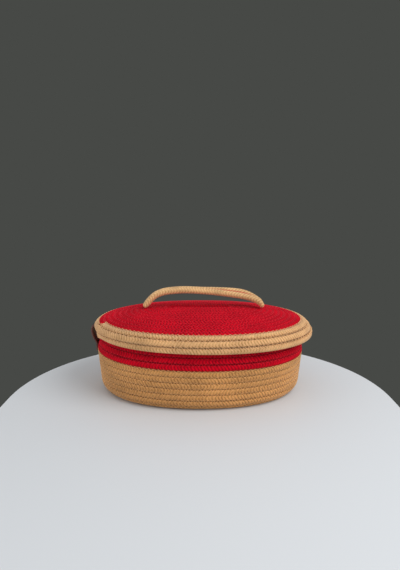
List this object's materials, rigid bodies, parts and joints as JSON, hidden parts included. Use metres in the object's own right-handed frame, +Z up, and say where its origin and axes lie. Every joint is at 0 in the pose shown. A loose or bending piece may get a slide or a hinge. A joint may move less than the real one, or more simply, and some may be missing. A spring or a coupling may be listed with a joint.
{
  "type": "lidded jute basket",
  "caption": "Oval lidded basket coiled from jute rope, red lid and band, domed hinged lid with a rope handle and a leather hinge.",
  "frame": {"origin": "flat underside of the floor coil's first run, at the middle of the base, on the surface it stands on", "axes": "+X along the oval's length towards the lid's free end, +Y towards the back, +Z up"},
  "size_m": [0.2897, 0.2124, 0.1302],
  "materials": {
    "jute_rope": "matt natural jute, browner on the base",
    "jute_rim_rope": "matt natural jute, paler on the lid's rim and the handle",
    "red_rope": "matt dyed crimson jute",
    "leather": "dark brown, smooth, slightly waxed",
    "brass": "dull brass"
  },
  "bodies": {
    "base": {"base_floor": "jute_rope", "base_corner_jute": "jute_rope", "base_wall_jute": "jute_rope", "base_wall_red": "red_rope", "hinge_rivet": "brass", "hinge_washer": "brass", "hinge_strap": "leather"},
    "lid": {"lid_top": "red_rope", "lid_rim": "jute_rim_rope", "handle_strand_front": "jute_rim_rope", "handle_strand_rear": "jute_rim_rope"}
  },
  "joints": [
    {"name": "lid_hinge", "type": "hinge", "parent": "base", "child": "lid", "pos_m": [-0.141, 0, 0.073], "axis": [0, -1, 0], "range_deg": [0, 110], "deforming": ["hinge_strap"]}
  ]
}
